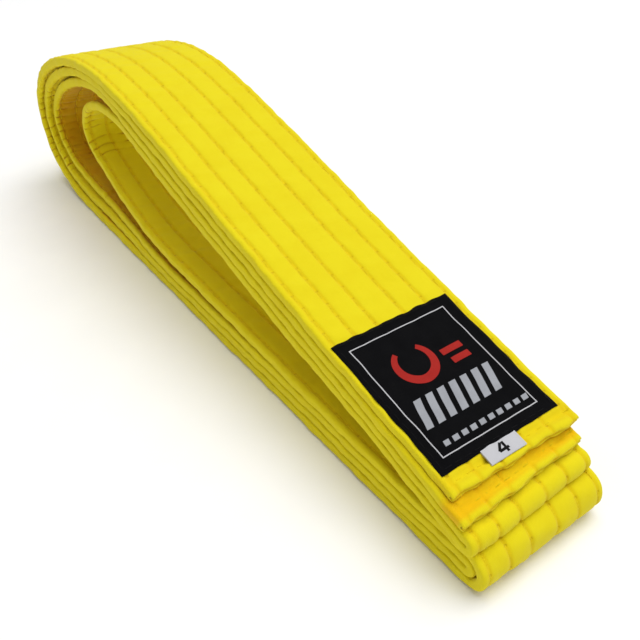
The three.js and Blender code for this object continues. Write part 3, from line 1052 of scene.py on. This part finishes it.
def cotton_material():
    m = Nodes("quilted_cotton")
    uv, along, across = m.cloth()
    gap, painted_warm_shade = m.value("seam_gap"), m.value("painted_warm_shade")
    cloud = m.noise(uv, COTTON_CLOUDS)
    fibre = m.noise(uv, COTTON_FIBRES, 2.0)
    warp, weft = m.thread_wave(along, COTTON_YARN_PITCH), m.thread_wave(across, COTTON_YARN_PITCH)
    weave = m.math("MULTIPLY", warp, weft)
    color = m.mix(m.between(cloud, 0.35, 0.7, 0.0, 0.55), COTTON, COTTON_DEEP)
    yarn = m.between(m.math("ADD", weave, m.math("MULTIPLY", fibre, 1.4)), -0.4, 1.6, 0.22, 0.0)
    color = m.mix(yarn, color, COTTON_YARN)
    # Painted shade: the cloth turns a darker orange near each seam's groove
    color = m.mix(m.between(gap, 0.15, 1.1, 0.5, 0.0), color, SEAM_GROOVE_PAINTED_SHADE)
    # Painted shade in the needle holes: dark spots where the thread goes through, along each seam
    turn = m.math("FRACT", m.value("stitch_turn"))
    near_hole = m.math("ABSOLUTE", m.math("SUBTRACT", turn, 0.5))
    at_hole = m.between(near_hole, 0.43, 0.475)
    hole = m.math("MULTIPLY", at_hole, m.between(gap, 0.16, 0.5, 1.0, 0.0))
    color = m.mix(m.math("MULTIPLY", hole, 0.45), color, NEEDLE_HOLE_PAINTED_SHADE)
    # Painted warm shade near the hems, between their lips, and inside the far loops and the pocket
    painted_warm_patch = m.math("MULTIPLY", painted_warm_shade, m.between(cloud, 0.3, 0.6, 0.5, 1.0))
    color = m.mix(painted_warm_patch, color, WARM_PAINTED_SHADE)
    # Painted shade in the creases, and inside the far loops and the pocket
    color = m.mix(m.between(m.value("crease"), 0.25, 0.9, 0.0, 0.85), color, CREASE_PAINTED_SHADE)
    raised = m.math("MULTIPLY", weave, 0.5)
    sunk = m.math("MULTIPLY", hole, 2.5)
    normal = m.bump(m.math("SUBTRACT", raised, sunk), 0.035)
    normal = m.bump(fibre, 0.05, 0.6, normal)
    wrinkle = m.noise(uv, COTTON_WRINKLES, 2.0)
    normal = m.bump(wrinkle, 0.32, 0.55, normal)
    return m.finish(color, normal, m.between(fibre, 0.2, 0.8, 0.78, 0.95), sheen=0.06, specular=0.12)


def thread_material(name, light, dark):
    m = Nodes(name)
    uv, along, around = m.cloth()
    turned = m.math("MULTIPLY", around, PLY_TURN)
    ply = m.math("SINE", m.math("MULTIPLY_ADD", along, PLY_TWIST, turned))
    fuzz = m.noise(uv, THREAD_FUZZ, 2.0)
    color = m.mix(m.between(m.math("ADD", ply, fuzz), -0.6, 1.2, 0.75, 0.0), light, dark)
    normal = m.bump(ply, 0.04)
    return m.finish(color, normal, m.between(fuzz, 0.2, 0.8, 0.55, 0.75), sheen=0.0, specular=0.15)


def woven_material(name, light, dark, pitch, relief=0.05, specular=0.2):
    m = Nodes(name)
    uv, along, across = m.cloth()
    twill = m.thread_wave(along, pitch, across, 0.5)
    rib = m.thread_wave(across, pitch * 0.7)
    weave = m.math("MULTIPLY_ADD", rib, 0.5, twill)
    cloud = m.noise(uv, WOVEN_CLOUDS)
    color = m.mix(m.between(weave, -1.2, 1.2, 0.8, 0.0), light, dark)
    color = m.mix(m.between(cloud, 0.35, 0.75, 0.0, 0.35), color, dark)
    roughness = m.between(cloud, 0.2, 0.8, 0.5, 0.75)
    normal = m.bump(weave, relief, 0.8)
    return m.finish(color, normal, roughness, sheen=0.0, specular=specular)


def floor_material():
    m = Nodes("pale_floor")
    place = m.add("TexCoord").outputs["Object"]
    grain = m.noise(place, 40.0)
    color = m.mix(m.between(grain, 0.3, 0.7), *FLOOR_WHITES)
    return m.finish(color, m.bump(grain, 0.02, 0.1), 0.9, sheen=0.0, specular=0.0)


# ---- Building ----

def finish_piece(obj, material, nodes, ride=None, blend=None):
    """Gives a piece its material and hides the CAD nodes it stands for. A piece with a blend is
    baked in place; any other is attached to the body it rides with.
    """
    obj.data.materials.append(material)
    if nodes:
        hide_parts(*nodes)
    if blend:
        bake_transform(obj)
    else:
        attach(obj, ride)


def both(name):
    return [name + "_cover", name + "_core"]


def build_belt(line):
    length = line.s[-1]
    places = section_places()
    cotton = cotton_material()
    thread = thread_material("seam_thread", THREAD_LIGHT, THREAD_DARK)

    x0, x1 = BLEND_START_X * MM, BLEND_END_X * MM
    ends = ("label_end", "plain_end")
    start, stop = (x0, 0, LIFT_BLEND_Z), (x1, 0, LIFT_BLEND_Z)
    lift = {end: ("upper_stack", end, start, stop) for end in ends}
    z0, z1 = LOOP_BLEND_Z
    bend = ("bundle_base", "upper_stack", (0, 0, z0), (0, 0, z1))
    plan = {
        "label_end_strip": (both("label_end") + both("top_run"), None, lift["label_end"]),
        "plain_end_strip": (both("plain_end") + both("second_run"), None, lift["plain_end"]),
        "upper_fold_strip": (both("upper_fold"), "upper_stack", None),
        "lower_fold_outer_strip": (both("lower_fold_outer"), "bundle_base", None),
        "lower_fold_inner_strip": (both("lower_fold_inner"), "bundle_base", None),
        "far_loop_outer_strip": (both("far_loop_outer"), None, bend),
        "far_loop_second_strip": (both("far_loop_second"), None, bend),
        "far_loop_third_strip": (both("far_loop_third"), None, bend),
        "far_loop_inner_strip": (both("far_loop_inner"), None, bend),
    }
    for name, (nodes, body, blend) in plan.items():
        first, last = line.pieces[name]
        strip = strip_object(line, name, places)
        finish_piece(strip, cotton, nodes, body, blend)
        seams = seam_object(line, name.replace("_strip", "_seams"), first, last)
        finish_piece(seams, thread, [], body, blend)

    for end, at_s in (("label_end", HEM_INSET), ("plain_end", length - HEM_INSET)):
        hem = cross_stitches(line, end + "_hem_thread", at_s)
        finish_piece(hem, thread, [end + "_hem_stitches"], end)


def build_label(line):
    black = woven_material("woven_label", LABEL_BLACK, LABEL_DARK, LABEL_PITCH, specular=0.07)
    label = label_object(line)
    finish_piece(label, black, ["label"], "label_end")
    extras = [
        (label_border(line), "border_yarn", YARN_WHITE, ["label_stitching"], "label_thread"),
        (label_ring(line), "red_yarn", YARN_RED, [], "woven_label"),
        (label_bars(line), "grey_yarn", YARN_GREY, [], "label_thread"),
        (label_dashes(line), "pale_yarn", YARN_GREY, [], "label_thread"),
    ]
    for obj, name, (light, dark), nodes, slot in extras:
        yarn = woven_material(name, light, dark, YARN_PITCH, 0.06)
        finish_piece(obj, yarn, nodes, "label_end")
    edge = label_edge_stitches(line)
    black_thread = thread_material("black_thread", LABEL_BLACK, LABEL_DARK)
    finish_piece(edge, black_thread, [], "label_end")


def build_tag(line):
    tag = tag_object(line)
    satin = woven_material("satin_tape", TAPE_LIGHT, TAPE_DARK, TAPE_PITCH, 0.02)
    finish_piece(tag, satin, ["size_tag"], "size_tag")
    number = tag_number(line)
    ink = woven_material("tag_ink", LABEL_BLACK, LABEL_DARK, YARN_PITCH)
    finish_piece(number, ink, [], "size_tag")


def build_stage():
    mesh = bpy.data.meshes.new("floor")
    side = FLOOR_HALF
    corners = [(-side, -side, 0), (side, -side, 0), (side, side, 0), (-side, side, 0)]
    mesh.from_pydata(corners, [], [(0, 1, 2, 3)])
    floor = bpy.data.objects.new("floor", mesh)
    bpy.context.scene.collection.objects.link(floor)
    floor.location.z = FLOOR_Z
    floor.data.materials.append(floor_material())

    for name, place, size, power in LIGHTS:
        light = bpy.data.lights.new(name, "AREA")
        light.shape = "RECTANGLE"
        light.size, light.size_y = size
        light.energy = power
        lamp = bpy.data.objects.new(name, light)
        lamp.location = place
        aim = -Vector(place).normalized()
        lamp.rotation_euler = aim.to_track_quat("-Z", "Y").to_euler()
        bpy.context.scene.collection.objects.link(lamp)

    world = bpy.data.worlds.new("studio")
    world.use_nodes = True
    sky = world.node_tree.nodes["Background"]
    sky.inputs["Color"].default_value = (1.0, 1.0, 1.0, 1.0)
    sky.inputs["Strength"].default_value = SKY
    bpy.context.scene.world = world
    bpy.context.scene.view_settings.view_transform = "Standard"


def build_camera():
    camera = bpy.data.objects.new("camera", bpy.data.cameras.new("camera"))
    bpy.context.scene.collection.objects.link(camera)
    camera.data.lens = LENS
    camera.data.sensor_width = 36.0
    camera.data.clip_start = 0.01
    heading = Matrix.Rotation(math.radians(CAMERA_HEADING - 90), 4, "Z")
    pitch = Matrix.Rotation(math.radians(CAMERA_PITCH + 90), 4, "X")
    roll = Matrix.Rotation(math.radians(CAMERA_ROLL), 4, "Z")
    camera.matrix_world = Matrix.Translation(CAMERA_AT) @ heading @ pitch @ roll
    bpy.context.scene.camera = camera


build_camera()
build_stage()
belt_line = Line()
build_belt(belt_line)
build_label(belt_line)
build_tag(belt_line)
